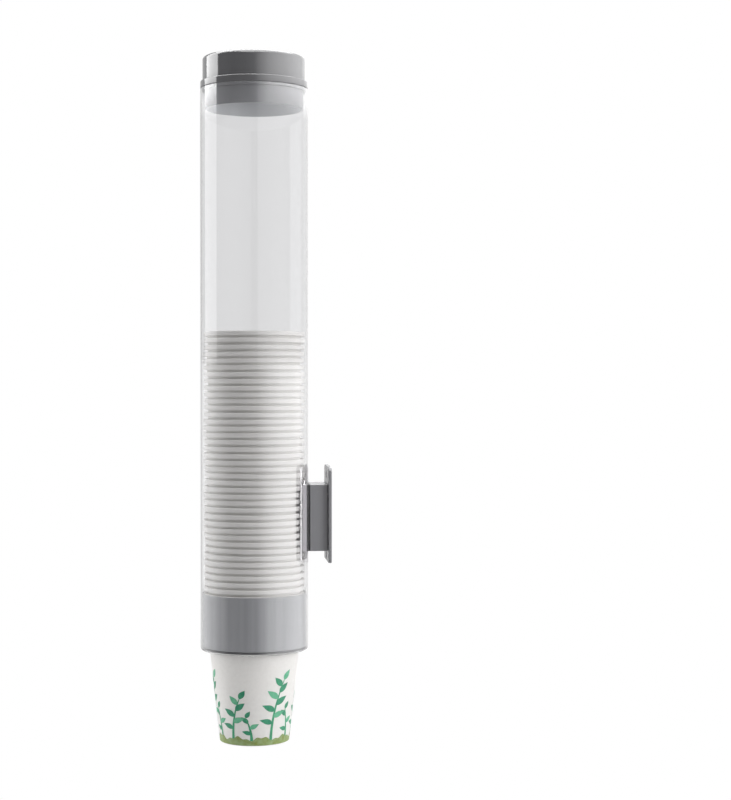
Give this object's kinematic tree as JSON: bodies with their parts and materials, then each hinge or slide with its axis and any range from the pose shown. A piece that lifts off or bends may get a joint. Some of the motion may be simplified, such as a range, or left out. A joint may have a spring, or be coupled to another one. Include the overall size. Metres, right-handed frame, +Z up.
{
  "type": "paper cup dispenser",
  "caption": "Wall-hung clear tube holding a stack of nested paper cups, with a lift-off lid and a collar of flexible fingers that lets the lowest cup be pulled out.",
  "frame": {"origin": "middle of the wall plate's back face, on the wall", "axes": "+X into the wall, +Z up along the tube"},
  "size_m": [0.0962, 0.08, 0.5086],
  "materials": {
    "grey_plastic": "satin moulded",
    "clear_plastic": "clear polished",
    "dark_elastomer": "matt",
    "white_paper": "coated paper",
    "zinc_steel": "zinc plated"
  },
  "bodies": {
    "bracket": {"wall_plate": "grey_plastic", "hanger_block": "grey_plastic", "block_screw_upper": "zinc_steel", "block_screw_lower": "zinc_steel"},
    "holder": {"tube": "clear_plastic", "rail_left": "clear_plastic", "rail_right": "clear_plastic", "collar": "grey_plastic", "petal_ring": "dark_elastomer"},
    "lid": {"lid": "grey_plastic"},
    "stack": {"cup_01": "white_paper", "cup_02": "white_paper", "cup_03": "white_paper", "cup_04": "white_paper", "cup_05": "white_paper", "cup_06": "white_paper", "cup_07": "white_paper", "cup_08": "white_paper", "cup_09": "white_paper", "cup_10": "white_paper", "cup_11": "white_paper", "cup_12": "white_paper", "cup_13": "white_paper", "cup_14": "white_paper", "cup_15": "white_paper", "cup_16": "white_paper", "cup_17": "white_paper", "cup_18": "white_paper", "cup_19": "white_paper", "cup_20": "white_paper", "cup_21": "white_paper", "cup_22": "white_paper", "cup_23": "white_paper", "cup_24": "white_paper", "cup_25": "white_paper", "cup_26": "white_paper", "cup_27": "white_paper", "cup_28": "white_paper", "cup_29": "white_paper", "cup_30": "white_paper", "cup_31": "white_paper", "cup_32": "white_paper", "cup_33": "white_paper", "cup_34": "white_paper", "cup_35": "white_paper", "cup_36": "white_paper", "cup_37": "white_paper", "cup_38": "white_paper", "cup_39": "white_paper", "cup_40": "white_paper", "cup_41": "white_paper", "cup_42": "white_paper", "cup_43": "white_paper", "cup_44": "white_paper"},
    "cup": {"cup_pull": "white_paper"}
  },
  "joints": [
    {"name": "holder_lift", "type": "slide", "parent": "bracket", "child": "holder", "axis": [0, 0, 1], "range_m": [0, 0.06]},
    {"name": "lid_lift", "type": "slide", "parent": "holder", "child": "lid", "axis": [0, 0, 1], "range_m": [0, 0.12]},
    {"name": "stack_lift", "type": "slide", "parent": "holder", "child": "stack", "axis": [0, 0, 1], "range_m": [0, 0.16]},
    {"name": "cup_draw", "type": "slide", "parent": "holder", "child": "cup", "axis": [0, 0, -1], "range_m": [0, 0.09], "deforming": ["petal_ring"]}
  ]
}
